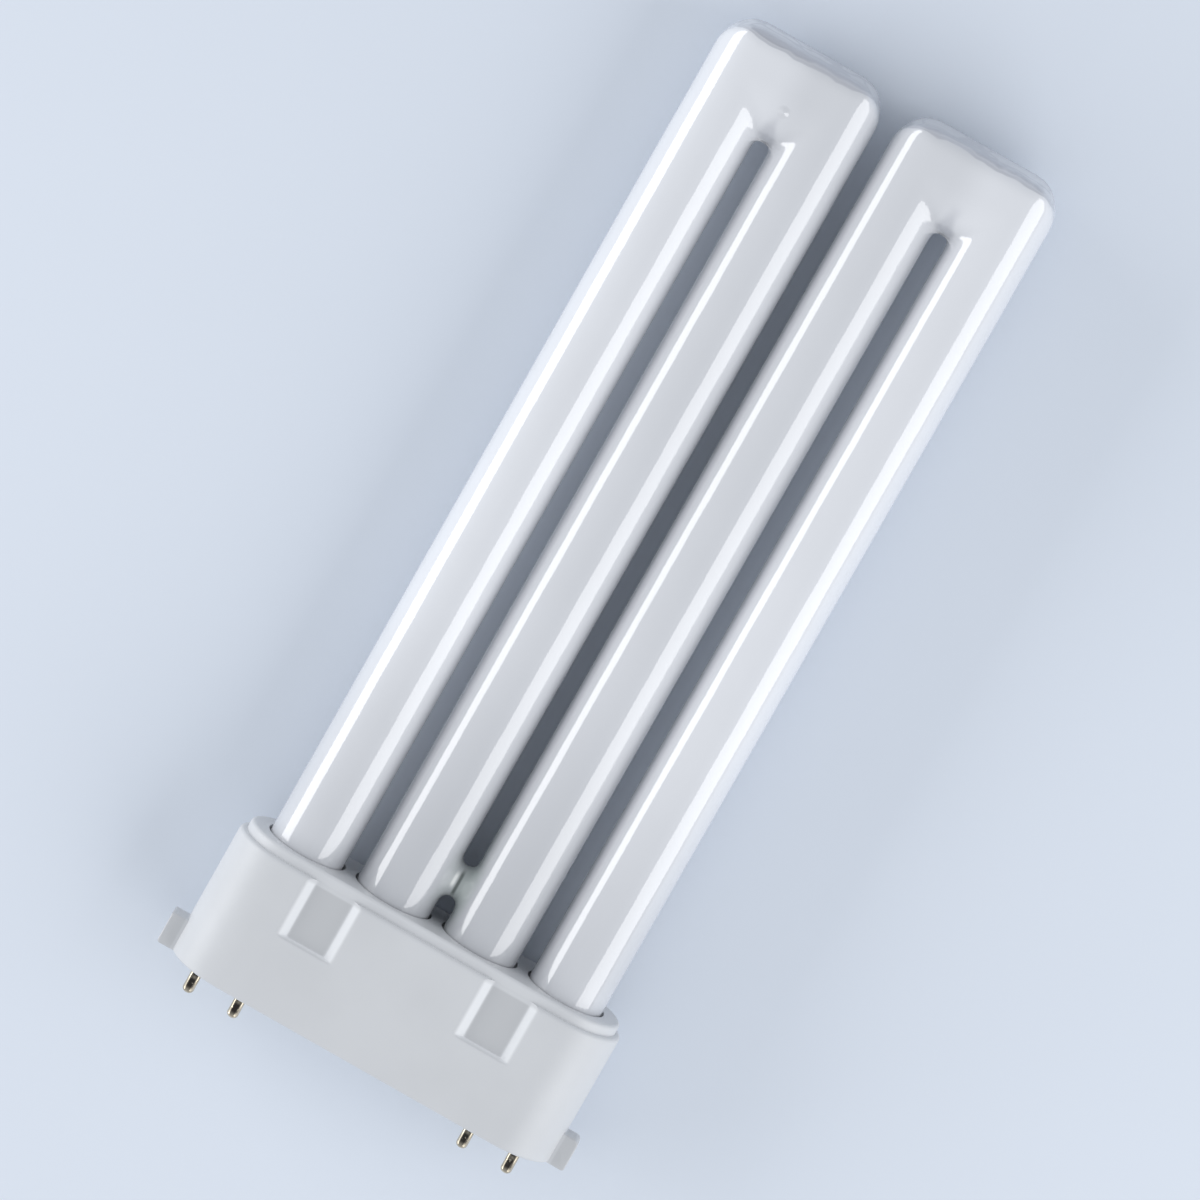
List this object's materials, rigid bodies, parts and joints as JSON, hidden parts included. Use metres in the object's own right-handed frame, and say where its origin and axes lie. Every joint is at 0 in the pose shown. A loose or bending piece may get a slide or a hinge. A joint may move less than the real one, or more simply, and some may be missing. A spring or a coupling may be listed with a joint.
{
  "type": "pin-base compact fluorescent lamp",
  "caption": "Flat pin-base compact fluorescent lamp: coated glass U tubes side by side, joined by a short bridge, on a moulded base with a row of hollow pins.",
  "frame": {"origin": "on the surface that the lamp lies on, under the middle of its bounding box", "axes": "+Y along the legs from the pins to the tube tips, +X across the row of legs, +Z out of the front broad face"},
  "size_m": [0.0914, 0.2236, 0.024],
  "materials": {
    "coated_glass": "glossy glass, white inside coating",
    "shell_plastic": "satin moulded",
    "holder_plastic": "satin moulded",
    "pin_metal": "bright drawn tube",
    "wire_metal": "drawn wire",
    "cement": "matt"
  },
  "bodies": {
    "root": {"discharge_vessel": "coated_glass", "base_shell": "shell_plastic", "tube_holder": "holder_plastic", "contact_pin_1": "pin_metal", "contact_pin_2": "pin_metal", "contact_pin_3": "pin_metal", "contact_pin_4": "pin_metal", "lead_wire_1": "wire_metal", "lead_wire_2": "wire_metal", "lead_wire_3": "wire_metal", "lead_wire_4": "wire_metal", "tube_cement_1": "cement", "tube_cement_2": "cement", "tube_cement_3": "cement", "tube_cement_4": "cement"}
  },
  "joints": []
}
